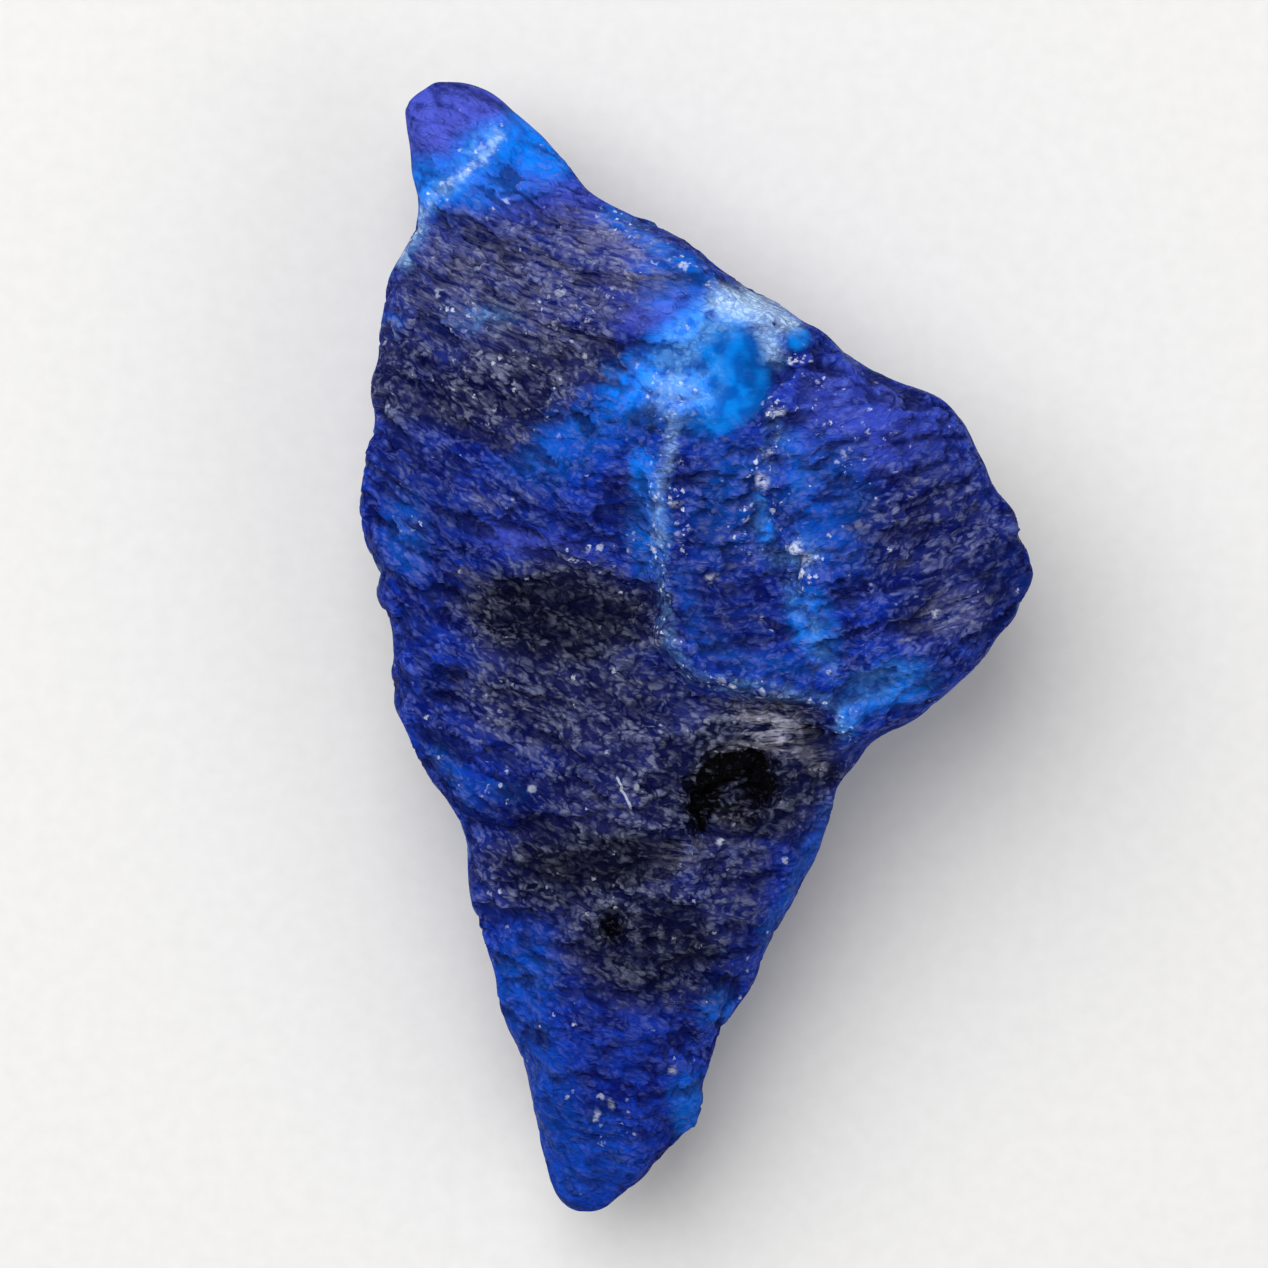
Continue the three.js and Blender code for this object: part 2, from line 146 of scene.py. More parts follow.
def solid_surface(node):
    """The solid's points, in mm, and its triangles, with points that lie together made one."""
    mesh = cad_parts[node].data
    mesh.calc_loop_triangles()
    points = np.empty(len(mesh.vertices) * 3)
    mesh.vertices.foreach_get("co", points)
    corners = np.empty(len(mesh.loop_triangles) * 3, dtype=np.int32)
    mesh.loop_triangles.foreach_get("vertices", corners)
    grid = np.round(points.reshape(-1, 3) / MM, SAME_POINT)
    merged, index = np.unique(grid, axis=0, return_inverse=True)
    return merged, index.reshape(-1)[corners].reshape(-1, 3)


def subdivided(points, triangles):
    """Loop subdivision: each triangle becomes four, and the surface is smoothed."""
    sides = np.concatenate([triangles[:, [0, 1]], triangles[:, [1, 2]], triangles[:, [2, 0]]])
    opposite = np.concatenate([triangles[:, 2], triangles[:, 0], triangles[:, 1]])
    edges, index = np.unique(np.sort(sides, axis=1), axis=0, return_inverse=True)
    index = index.reshape(-1)
    across = np.zeros((len(edges), 3))
    np.add.at(across, index, points[opposite])
    middles = 3 / 8 * points[edges].sum(axis=1) + 1 / 8 * across

    valence = np.bincount(edges.reshape(-1), minlength=len(points))[:, None]
    ring = np.zeros_like(points)
    np.add.at(ring, edges[:, 0], points[edges[:, 1]])
    np.add.at(ring, edges[:, 1], points[edges[:, 0]])
    pull = 5 / 8 - (3 / 8 + np.cos(2 * math.pi / valence) / 4) ** 2
    kept = (1 - pull) * points + pull * ring / valence

    a, b, c = triangles.T
    ab, bc, ca = index.reshape(3, -1) + len(points)
    finer = np.concatenate([np.stack(t, axis=1) for t in
                            ((a, ab, ca), (ab, b, bc), (ca, bc, c), (ab, bc, ca))])
    return np.concatenate([kept, middles]), finer


def normals_of(points, triangles):
    """The surface's normal at each point, with large triangles counting for more."""
    p, q, r = (points[triangles[:, i]] for i in range(3))
    face = np.cross(q - p, r - p)
    total = np.zeros_like(points)
    for i in range(3):
        np.add.at(total, triangles[:, i], face)
    return total / np.linalg.norm(total, axis=1, keepdims=True)


def flow_of(points):
    """Where each point is along and across the ripples, which fan out from the middle."""
    x, y, z = points.T
    across = y - RIPPLE_SAG * (x - RIPPLE_MIDDLE) ** 2
    return np.stack([x / RIPPLE_STRETCH, across, z], axis=1)


# Relief, from wide to fine: how wide the flakes are in mm, and the slopes they lean and tilt by.
LEAN = np.array([0.35, -1.0, 0.0])
FLAKES = (
    {"width": 1.35, "lean": 0.16, "tilt": 0.18},
    {"width": 0.62, "lean": 0.20, "tilt": 0.28},
)
FLAKE_SEED = 3
FLAKE_WARP = {"width": 0.9, "reach": 0.3, "seed": 31}  # how the flakes' borders are bent
LUMPS = {"width": 0.9, "slope": 0.10, "seed": 17}
SWELL = {"width": 4.5, "least": 0.55, "seed": 91}  # wide patches of stronger and weaker relief
WALL_SLOPE = (0.2, 0.75)  # the normal's upright share where it is all wall, and where it is none
WALL_SHARE = 0.6  # how much of the relief the walls keep, where it only cuts in
REST_HEIGHT = 0.02  # the resting face, which has no relief, is below this height
WINDOW_CALM = 0.75  # how much lower the relief is in the window
CALM = (  # parts of the face with lower relief, as spots
    (0.8, dict(at=(-9.4, 21.8), size=(4.4, 2.6), turn=15)),
    (0.55, dict(at=(-4.0, -19.4), size=(4.6, 5.4), turn=-10)),
    (0.3, dict(at=(3.6, -10.0), size=(1.8, 5.4), turn=-20)),
    (0.5, dict(at=(-0.4, 12.4), size=(3.4, 2.6), turn=30)),
    (0.4, dict(at=(-7.2, -14.0), size=(1.6, 3.0), turn=-15)),
    (0.75, dict(at=(-4.8, -22.4), size=(2.4, 2.2))),
)


def relief(flow, calm, wall):
    """How far each point of the surface is pushed out, in mm."""
    seeds = [FLAKE_WARP["seed"] + axis for axis in range(3)]
    bend = np.stack([smooth_noise(flow / FLAKE_WARP["width"], seed) for seed in seeds], axis=1)
    warped = flow + FLAKE_WARP["reach"] * bend
    lumps = layered_noise(flow / LUMPS["width"], LUMPS["seed"])
    push = LUMPS["slope"] * LUMPS["width"] * lumps
    for seed, size in enumerate(FLAKES, FLAKE_SEED):
        lean = size["lean"] * LEAN
        push += size["width"] * flakes(warped / size["width"], seed, lean, size["tilt"])
    swell = 0.5 + 0.5 * smooth_noise(flow / SWELL["width"], SWELL["seed"])
    push *= (1 - calm) * (SWELL["least"] + (1 - SWELL["least"]) * 2 * swell)
    cut_in = WALL_SHARE * np.minimum(push, 0)
    return push + wall * (cut_in - push)


# ---------------------------------------------------------------------------------------------
# Marks: where the zones of the stone are, seen from above


def smoothstep(low, high, value):
    """0 at low, 1 at high, smooth between."""
    t = np.clip((value - low) / (high - low), 0, 1)
    return t * t * (3 - 2 * t)


def spot(x, y, at, size, turn=0.0, soft=0.5):
    """1 inside an ellipse of these half-sizes, turned anticlockwise in degrees, and 0 outside.

    Its border is soft by this share of the half-sizes to either side.
    """
    angle = math.radians(turn)
    along = (x - at[0]) * math.cos(angle) + (y - at[1]) * math.sin(angle)
    across = (y - at[1]) * math.cos(angle) - (x - at[0]) * math.sin(angle)
    out = np.hypot(along / size[0], across / size[1])
    return 1 - smoothstep(1 - soft, 1 + soft, out)


def streak(x, y, line, width, soft=0.6):
    """1 on a line of points, 0 past its half-width, with a border as soft as a spot's."""
    away = np.full(len(x), np.inf)
    for (ax, ay), (bx, by) in zip(line, line[1:]):
        dx, dy = bx - ax, by - ay
        t = np.clip(((x - ax) * dx + (y - ay) * dy) / (dx * dx + dy * dy), 0, 1)
        away = np.minimum(away, np.hypot(x - ax - t * dx, y - ay - t * dy))
    return 1 - smoothstep(1 - soft, 1 + soft, away / width)


# Veins that more than one zone follows
PANEL_VEIN = [(-0.8, 9.6), (-1.2, 7.8), (-1.6, 6.2), (-1.5, 4.4)]  # down from the window
BAY_VEIN = [(-1.1, 0.2), (-0.2, -1.0), (1.2, -1.5), (3.0, -1.75), (6.2, -2.3)]  # on to the right

# Each mark is (strength, spot or streak, its numbers). The strongest mark counts.
ZONES = {
    # grey matrix
    "dark": [
        (0.62, spot, dict(at=(-8.6, 14.0), size=(4.2, 4.2), turn=-10)),
        (0.85, spot, dict(at=(-8.4, 10.8), size=(4.6, 2.0), turn=6)),
        (0.75, spot, dict(at=(-8.0, 9.2), size=(1.5, 1.0), turn=-20)),
        (0.6, spot, dict(at=(-4.6, 15.8), size=(3.2, 2.4), turn=-30)),
        (0.5, spot, dict(at=(-7.8, 17.0), size=(3.0, 1.0), turn=-10)),
        (0.78, spot, dict(at=(-5.0, 12.3), size=(2.5, 1.5), turn=-20)),
        (1.0, spot, dict(at=(-5.6, 1.2), size=(4.6, 2.5), turn=-4)),
        (0.8, spot, dict(at=(-4.6, -2.6), size=(6.0, 2.6), turn=-4)),
        (0.75, spot, dict(at=(-3.2, -5.8), size=(3.8, 2.4))),
        (0.9, spot, dict(at=(-0.8, -5.6), size=(2.2, 2.6))),
        (1.0, spot, dict(at=(-4.4, -8.8), size=(4.8, 2.2), turn=4)),
        (1.2, spot, dict(at=(2.4, -5.0), size=(3.4, 3.0), turn=-10)),
        (0.9, spot, dict(at=(-2.2, -12.0), size=(3.6, 3.2), turn=-25)),
        (0.7, spot, dict(at=(1.2, -9.8), size=(2.0, 3.4), turn=-20)),
        (0.62, spot, dict(at=(9.8, 4.6), size=(3.6, 3.4), turn=15)),
        (0.6, spot, dict(at=(10.4, 1.4), size=(2.8, 1.6), turn=20)),
        (0.35, spot, dict(at=(1.0, 4.6), size=(2.0, 4.8))),
        (0.2, spot, dict(at=(5.8, 4.4), size=(2.4, 4.2))),
        (0.45, spot, dict(at=(-8.2, 6.4), size=(2.4, 1.1), turn=-8)),
        (0.4, spot, dict(at=(-11.2, 7.4), size=(2.2, 2.0))),
        (0.3, spot, dict(at=(-6.2, 5.4), size=(3.2, 0.9), turn=-8)),
        (0.3, spot, dict(at=(2.0, 0.8), size=(2.4, 2.2))),
        (0.3, spot, dict(at=(-11.6, 4.4), size=(1.8, 2.2))),
        (0.8, spot, dict(at=(-12.1, 11.4), size=(1.9, 2.3))),
    ],
    # painted shade: places painted darker, as if they held less light
    "shade": [
        (0.45, spot, dict(at=(-9.2, 17.0), size=(1.9, 0.5), turn=-20)),
        (0.3, spot, dict(at=(-11.0, 14.9), size=(0.9, 0.5))),
        (0.4, spot, dict(at=(-7.4, 12.3), size=(2.6, 0.6), turn=-8)),
        (0.25, spot, dict(at=(-8.6, 9.7), size=(2.4, 0.8), turn=5)),
        (0.3, spot, dict(at=(-2.4, 9.1), size=(1.0, 0.6))),
        (0.35, spot, dict(at=(2.4, 11.2), size=(0.6, 1.4))),
        (0.2, spot, dict(at=(-12.2, 6.6), size=(1.4, 1.8))),
        (0.35, spot, dict(at=(-10.4, 5.0), size=(1.4, 1.0))),
        (0.2, spot, dict(at=(-6.4, 4.8), size=(2.6, 1.0), turn=-8)),
        (0.65, spot, dict(at=(-8.4, 2.1), size=(2.4, 1.1), turn=-8)),
        (0.85, spot, dict(at=(-5.6, 1.4), size=(3.6, 1.8))),
        (0.7, spot, dict(at=(1.7, -6.2), size=(2.4, 2.0), turn=20)),
        (0.25, spot, dict(at=(-4.6, -1.2), size=(5.0, 1.2))),
        (0.5, spot, dict(at=(-10.1, -1.5), size=(0.9, 0.8))),
        (0.45, spot, dict(at=(0.5, 5.2), size=(0.7, 1.3))),
        (0.5, spot, dict(at=(1.4, 1.0), size=(1.6, 1.2))),
        (0.4, spot, dict(at=(6.6, 6.0), size=(1.0, 1.8), turn=15)),
        (0.35, spot, dict(at=(9.6, 8.0), size=(1.4, 0.8), turn=-20)),
        (0.3, spot, dict(at=(10.2, 4.6), size=(1.6, 0.9), turn=10)),
        (0.75, spot, dict(at=(12.8, 3.0), size=(1.0, 1.5))),
        (0.5, spot, dict(at=(9.4, 1.6), size=(1.4, 0.7), turn=10)),
        (0.35, spot, dict(at=(-11.0, -4.6), size=(1.2, 1.4))),
        (0.6, spot, dict(at=(-7.6, -6.7), size=(2.0, 1.0))),
        (0.9, spot, dict(at=(-3.6, -8.8), size=(3.4, 1.0), turn=4)),
        (0.5, spot, dict(at=(-5.6, -10.8), size=(1.6, 1.0))),
        (0.8, spot, dict(at=(-3.4, -11.7), size=(0.9, 0.9))),
        (0.7, spot, dict(at=(-0.6, -12.2), size=(2.2, 1.4), turn=-10)),
        (0.55, spot, dict(at=(-2.4, -13.4), size=(2.8, 1.5), turn=-10)),
        (0.6, spot, dict(at=(0.2, -13.9), size=(1.5, 0.8), turn=20)),
        (0.35, spot, dict(at=(1.6, -12.6), size=(0.7, 2.0), turn=-25)),
        (0.4, spot, dict(at=(2.0, -9.6), size=(1.2, 1.8), turn=-15)),
        (0.6, spot, dict(at=(5.2, -4.2), size=(1.0, 1.4), turn=20)),
    ],
    # bright azure: the stone's own azure, painted brighter as a glow of light through its thin
    # edges
    "azure": [
        (0.85, streak, dict(
            line=[(-11.6, 19.1), (-10.0, 19.6), (-8.4, 20.9), (-6.8, 21.5)], width=1.0)),
        (0.85, spot, dict(at=(-6.6, 20.6), size=(1.3, 0.9), turn=-35)),
        (0.6, spot, dict(at=(-8.2, 19.3), size=(2.4, 0.9), turn=15, soft=0.8)),
        (1.0, streak, dict(
            line=[(-2.9, 10.7), (-1.6, 11.9), (-0.2, 13.0), (1.0, 13.7)], width=1.0)),
        (1.0, spot, dict(at=(0.2, 10.9), size=(1.7, 1.9))),
        (0.35, spot, dict(at=(-1.2, 14.7), size=(2.0, 1.0), turn=-28)),
        (0.2, spot, dict(at=(1.2, 6.2), size=(1.4, 2.6))),
        (0.22, spot, dict(at=(5.4, 5.8), size=(1.8, 2.8))),
        (0.36, streak, dict(line=[(-6.4, 8.4), (-4.6, 9.4), (-3.0, 10.5)], width=1.4, soft=0.9)),
        (0.75, spot, dict(at=(-2.2, 7.1), size=(0.5, 1.2), turn=10)),
        (0.4, spot, dict(at=(-2.0, 5.4), size=(0.8, 2.4))),
        (0.6, spot, dict(at=(4.9, 0.9), size=(0.9, 1.5), turn=20)),
        (0.7, spot, dict(at=(7.9, -1.6), size=(1.9, 1.0), turn=15)),
        (0.7, spot, dict(at=(6.3, -2.6), size=(0.5, 1.0))),
        (0.9, streak, dict(line=[(2.5, 6.2), (3.0, 4.7)], width=0.3)),
        (0.35, streak, dict(line=[(4.0, 8.6), (4.6, 6.6)], width=0.5)),
        (0.15, streak, dict(line=[(-0.4, 3.0), (0.0, 0.4), (1.6, -0.6), (4.4, -1.0)], width=0.5)),
        (0.2, spot, dict(at=(-7.2, -13.6), size=(1.3, 1.6), turn=-15, soft=0.9)),
        (0.12, streak, dict(line=[(-7.6, -14.6), (-6.4, -18.0), (-5.2, -22.0)], width=1.2)),
        (0.1, spot, dict(at=(-4.2, -21.4), size=(1.8, 2.0))),
        (0.4, spot, dict(at=(-0.3, -18.9), size=(0.8, 1.3))),
        (0.2, streak, dict(line=[(5.6, -6.6), (4.8, -9.0), (3.2, -12.0)], width=0.5)),
        (0.4, spot, dict(at=(0.8, -14.9), size=(0.7, 0.8))),
        (0.35, spot, dict(at=(-12.0, 4.8), size=(0.8, 1.3), soft=0.9)),
        (0.2, streak, dict(line=[(-10.6, -4.4), (-9.4, -6.2)], width=0.4, soft=0.9)),
        (0.15, spot, dict(at=(-8.0, -5.9), size=(1.2, 0.4), turn=-5)),
        (0.6, spot, dict(at=(-12.6, 13.4), size=(0.4, 0.5))),
        (0.45, spot, dict(at=(-8.9, 13.7), size=(1.2, 0.6), soft=0.9)),
        (0.3, spot, dict(at=(-10.4, 13.6), size=(0.8, 0.4), turn=25)),
        (0.45, streak, dict(line=[(-3.6, 17.8), (-1.6, 16.6), (0.6, 15.2)], width=0.4)),
    ],
    # the smooth cyan-blue window at the top of the wing
    "window": [
        (1.0, spot, dict(at=(1.75, 11.3), size=(1.25, 1.9), turn=6, soft=0.22)),
        (0.85, spot, dict(at=(1.0, 12.5), size=(1.0, 0.8), soft=0.5)),
        (0.9, spot, dict(at=(4.1, 12.8), size=(0.55, 0.5), soft=0.4)),
        (0.7, spot, dict(at=(0.8, 9.5), size=(1.0, 0.7), turn=25, soft=0.4)),
    ],
    # violet-blue
    "violet": [
        (1.0, spot, dict(at=(-10.0, 22.0), size=(2.4, 1.8), turn=15)),
        (0.6, spot, dict(at=(-6.4, 18.8), size=(3.0, 1.0), turn=-10)),
        (0.5, spot, dict(at=(-4.0, 16.6), size=(2.6, 1.2), turn=-30)),
        (0.9, spot, dict(at=(-2.0, 14.4), size=(2.0, 1.4), turn=-28)),
        (0.4, spot, dict(at=(7.2, 9.4), size=(3.6, 1.8), turn=-25)),
        (0.5, spot, dict(at=(-6.8, 4.4), size=(2.4, 0.7), turn=-12)),
        (0.25, spot, dict(at=(4.8, 9.4), size=(1.2, 1.6))),
    ],
    # pale blue haze around the veins
    "haze": [
        (0.6, streak, dict(line=[(-10.6, 19.1), (-9.6, 19.8), (-8.4, 21.4)], width=0.5)),
        (0.6, streak, dict(line=[(-11.1, 18.6), (-11.6, 17.4), (-12.1, 16.2)], width=0.45)),
        (0.7, spot, dict(at=(-0.8, 10.9), size=(1.2, 1.3), turn=-20, soft=0.8)),
        (0.6, spot, dict(at=(0.2, 10.2), size=(0.5, 0.8), turn=10)),
        (0.8, streak, dict(
            line=[(-1.0, 11.9), (-0.1, 12.9), (0.9, 13.7), (2.1, 13.9)], width=0.7, soft=0.9)),
        (0.7, streak, dict(line=[(2.1, 13.9), (3.0, 13.0), (3.2, 12.0)], width=0.5)),
        (0.34, streak, dict(line=PANEL_VEIN, width=0.36, soft=0.9)),
        (0.35, streak, dict(line=[(-1.5, 4.4), (-1.4, 2.0), (-1.1, 0.2)], width=0.3, soft=0.9)),
        (0.35, streak, dict(line=BAY_VEIN, width=0.3)),
        (0.2, streak, dict(line=[(3.3, 9.6), (2.9, 7.4), (2.6, 5.0), (3.2, 3.6)], width=0.4)),
        (0.4, spot, dict(at=(4.3, 3.9), size=(0.8, 0.7))),
        (0.3, streak, dict(line=[(4.0, 2.4), (4.6, 1.2), (5.4, -0.8)], width=0.5)),
        (0.3, spot, dict(at=(7.6, -1.4), size=(1.6, 0.8), turn=15)),
        (0.3, spot, dict(at=(0.5, 11.4), size=(0.7, 1.2))),
        (0.5, spot, dict(at=(6.2, -3.0), size=(0.35, 0.9), turn=10)),
        (0.35, spot, dict(at=(-8.8, 13.7), size=(1.0, 0.45), soft=0.9)),
    ],
    # cream-white rock
    "white": [
        (1.1, streak, dict(line=[(1.2, 14.3), (2.4, 14.3), (3.7, 13.8)], width=0.6, soft=0.9)),
        (0.5, streak, dict(line=[(2.2, 13.8), (2.9, 13.1), (3.2, 12.2)], width=0.3, soft=0.9)),
        (0.55, streak, dict(
            line=[(-10.2, 19.4), (-9.5, 19.9), (-8.8, 20.4), (-8.3, 21.4)], width=0.2)),
        (0.3, streak, dict(line=[(-11.4, 18.1), (-10.8, 18.9), (-10.2, 19.4)], width=0.16)),
        (0.35, streak, dict(line=[(-11.4, 18.1), (-11.8, 17.0), (-12.2, 16.2)], width=0.2)),
        (0.3, spot, dict(at=(-0.9, 10.5), size=(0.8, 0.7), turn=-25, soft=0.8)),
        (0.24, streak, dict(line=PANEL_VEIN, width=0.25)),
    ],
    # where small pale grains gather
    "grains": [
        (1.0, streak, dict(line=[(-11.3, 18.4), (-11.8, 17.2), (-12.2, 16.2)], width=0.5)),
        (0.8, streak, dict(line=[(-10.6, 19.1), (-9.4, 20.0), (-8.3, 21.7)], width=0.4)),
        (0.8, spot, dict(at=(-10.2, 13.6), size=(1.3, 0.6), turn=25)),
        (0.7, spot, dict(at=(-7.8, 13.4), size=(1.0, 0.5))),
        (0.5, spot, dict(at=(-6.2, 14.6), size=(3.0, 1.6), turn=-15)),
        (0.35, spot, dict(at=(-8.4, 10.6), size=(3.0, 1.6))),
        (0.4, spot, dict(at=(6.6, 8.8), size=(2.4, 2.4))),
        (1.0, streak, dict(line=[(-4.0, 17.9), (-2.8, 17.4), (-1.8, 16.4)], width=0.5)),
        (1.0, streak, dict(line=[(-1.8, 16.4), (-0.2, 15.5), (1.8, 14.3)], width=0.45)),
        (0.7, spot, dict(at=(-0.9, 10.4), size=(1.3, 1.0), turn=-25)),
        (0.9, streak, dict(
            line=[(-0.7, 9.8), (-1.2, 7.8), (-1.6, 6.2), (-1.6, 4.0), (-1.3, 0.2)], width=0.4)),
        (0.7, streak, dict(line=BAY_VEIN, width=0.35)),
        (1.0, streak, dict(line=[(-0.9, 6.4), (-0.8, 4.4)], width=0.5)),
        (1.0, streak, dict(line=[(3.3, 9.8), (2.9, 8.0), (2.6, 6.6)], width=0.45)),
        (0.9, streak, dict(line=[(2.6, 6.6), (2.2, 4.4)], width=0.8)),
        (1.0, spot, dict(at=(4.3, 3.6), size=(0.7, 1.0))),
        (0.8, spot, dict(at=(4.2, 11.6), size=(1.2, 0.9), turn=-30)),
        (0.8, spot, dict(at=(6.3, -2.6), size=(0.5, 1.3), turn=10)),
        (0.6, spot, dict(at=(-4.2, 4.0), size=(2.0, 0.8))),
        (0.25, spot, dict(at=(-3.4, -19.8), size=(1.1, 1.2))),
        (0.4, spot, dict(at=(-8.4, -5.6), size=(1.6, 0.8))),
    ],
    # the largest grains
    "grain": [
        (1.0, spot, dict(at=(2.7, 6.9), size=(0.24, 0.36), turn=20, soft=0.3)),
        (1.0, spot, dict(at=(4.15, 4.1), size=(0.3, 0.24), turn=30, soft=0.3)),
        (0.8, spot, dict(at=(4.5, 3.7), size=(0.24, 0.2), soft=0.3)),
        (0.8, spot, dict(at=(3.4, 9.7), size=(0.32, 0.18), turn=-10, soft=0.3)),
        (0.7, spot, dict(at=(3.0, 8.1), size=(0.2, 0.14), turn=30, soft=0.3)),
        (0.6, spot, dict(at=(-0.9, 6.0), size=(0.26, 0.12), soft=0.3)),
        (0.6, spot, dict(at=(-0.8, 4.7), size=(0.12, 0.14), soft=0.3)),
        (0.6, spot, dict(at=(0.65, 2.9), size=(0.2, 0.12), turn=30, soft=0.3)),
        (0.6, spot, dict(at=(-4.1, -19.5), size=(0.14, 0.22), turn=-20, soft=0.4)),
        (0.5, spot, dict(at=(-3.5, -19.0), size=(0.12, 0.2), turn=20, soft=0.4)),
        (0.5, spot, dict(at=(-1.0, -17.6), size=(0.16, 0.12), soft=0.4)),
    ],
    # pale grey rock, partly painted light: the lit ledge rock, lit grains in the pit and greyer lit
    # flakes
    "ash_and_highlight": [
        (0.26, spot, dict(at=(-7.6, 15.0), size=(4.2, 2.6), turn=-12)),
        (0.35, spot, dict(at=(-3.4, 16.4), size=(2.6, 1.2), turn=-28)),
        (1.1, spot, dict(at=(3.2, -3.2), size=(1.5, 0.7), turn=-10)),
        (0.9, streak, dict(line=[(1.0, -4.3), (2.4, -3.9), (3.6, -4.1)], width=0.25)),
        (0.5, streak, dict(line=[(4.0, -4.0), (5.0, -4.8)], width=0.4)),
        (0.4, spot, dict(at=(-0.6, -8.5), size=(1.2, 0.6), turn=10)),
        (0.5, spot, dict(at=(1.6, -6.9), size=(0.7, 0.6))),
        (0.3, spot, dict(at=(-9.2, 3.1), size=(0.9, 0.4), turn=-10)),
        (0.25, spot, dict(at=(10.6, 1.6), size=(1.4, 0.7), turn=20)),
    ],
    # painted shadow: black painted in the pits, under the ledge's lip and in the dark bay
    "hollow": [
        (0.9, spot, dict(at=(0.4, -6.1), size=(0.8, 1.8), turn=-14, soft=0.7)),
        (1.0, spot, dict(at=(2.5, -5.2), size=(0.9, 1.3), turn=15, soft=0.7)),
        (1.0, spot, dict(at=(1.5, -4.95), size=(1.4, 0.6), turn=8)),
        (0.45, spot, dict(at=(1.8, -6.8), size=(1.5, 1.1), turn=20, soft=0.8)),
        (0.35, streak, dict(line=[(3.4, -2.3), (5.2, -2.9)], width=0.7, soft=0.9)),
        (0.8, spot, dict(at=(-3.5, -11.6), size=(0.4, 0.5), soft=0.8)),
        (0.4, spot, dict(at=(0.0, -13.8), size=(0.7, 0.4), turn=20, soft=0.8)),
        (0.3, spot, dict(at=(-8.0, 2.2), size=(1.4, 0.7), turn=-12)),
        (0.3, spot, dict(at=(-6.0, 1.0), size=(1.0, 0.8))),
    ],
}
ZONE_WANDER = {  # how far the borders wander, and how wide the waves are, in mm
    "dark": (1.0, 1.6),
    "shade": (0.8, 1.6),
    "azure": (0.6, 1.6),
    "window": (0.2, 1.2),
    "violet": (0.9, 1.6),
    "haze": (0.45, 1.0),
    "white": (0.4, 0.6),
    "grains": (0.3, 1.0),
    "grain": (0.2, 0.5),
    "ash_and_highlight": (0.4, 1.2),
    "hollow": (0.6, 0.9),
}
RIM_HEIGHT = 6.5  # below this the zones slant into the stone
ZONE_SLANT = (0.55, 0.25)  # by this much along x and y per mm of depth
ZONE_LAYERS = 4  # layers of the noise that moves the zones' borders
BORDER_SEED, PATCH_SEED = 50, 80
# As the surface tips over, from the first upward share of its normal to the second, the marks give
# way to patches that run all through the stone. The border between them wanders too.
OVER_RIM = (0.32, -0.08)
RIM_WANDER = {"width": 2.4, "reach": 0.25, "seed": 97}
PATCHES = {  # their strength, how wide they are in mm, and the noise they start at and are full at
    "dark": (0.9, 6.5, -0.1, 0.45),
    "shade": (0.5, 2.6, 0.1, 0.7),
    "azure": (0.7, 5.0, 0.1, 0.6),
    "violet": (0.7, 6.0, 0.05, 0.5),
    "grains": (0.8, 3.5, 0.2, 0.6),
    "ash_and_highlight": (0.35, 4.0, 0.2, 0.6),
}
SEAM = {  # a pale seam that winds round the sides, where its noise is within reach of 0
    "width": 9.0, "reach": 0.07, "soft": (0.3, 1), "strength": 0.6, "seed": 99,
}


def zone_masks(points, normals, flow):
    """Each zone's mask, 0 to 1, with borders that wander."""
    depth = np.maximum(0, RIM_HEIGHT - points[:, 2])
    wander = layered_noise(points / RIM_WANDER["width"], RIM_WANDER["seed"])
    wander *= RIM_WANDER["reach"]
    inner = smoothstep(*OVER_RIM, normals[:, 2] + wander)
    masks = {}
    for number, (zone, marks) in enumerate(ZONES.items()):
        reach, width = ZONE_WANDER[zone]
        seeds = [BORDER_SEED + 2 * number + axis for axis in (0, 1)]
        moved = [reach * layered_noise(flow / width, seed, ZONE_LAYERS) for seed in seeds]
        x, y = (points[:, axis] + ZONE_SLANT[axis] * depth + moved[axis] for axis in (0, 1))
        total = np.zeros(len(points))
        for strength, shape, numbers in marks:
            total = np.maximum(total, strength * shape(x, y, **numbers))
        patch = 0.0
        if zone in PATCHES:
            strength, width, low, high = PATCHES[zone]
            spread = layered_noise(points / width, PATCH_SEED + number, ZONE_LAYERS)
            patch = strength * smoothstep(low, high, spread)
        masks[zone] = total + inner * (patch - total)
    seam = np.abs(layered_noise(points / SEAM["width"], SEAM["seed"], ZONE_LAYERS)) / SEAM["reach"]
    masks["haze"] += SEAM["strength"] * inner * (1 - smoothstep(*SEAM["soft"], seam))
    return masks


# ---------------------------------------------------------------------------------------------
# The stone

CREST = 0.25  # how far out or in the relief is where it is all crest or all trough, in mm


def mesh_object(name, points, triangles):
    mesh = bpy.data.meshes.new(name)
    mesh.from_pydata((points * MM).tolist(), [], triangles.tolist())
    mesh.update()
    mesh.shade_smooth()
    piece = bpy.data.objects.new(name, mesh)
    bpy.context.scene.collection.objects.link(piece)
    return piece


def store(mesh, name, values):
    """Keeps a number or a vector for each point, which the material reads by its name."""
    kind, field = ("FLOAT_VECTOR", "vector") if values.ndim == 2 else ("FLOAT", "value")
    attribute = mesh.attributes.new(name, kind, "POINT")
    attribute.data.foreach_set(field, np.ascontiguousarray(values, dtype=np.float32).ravel())


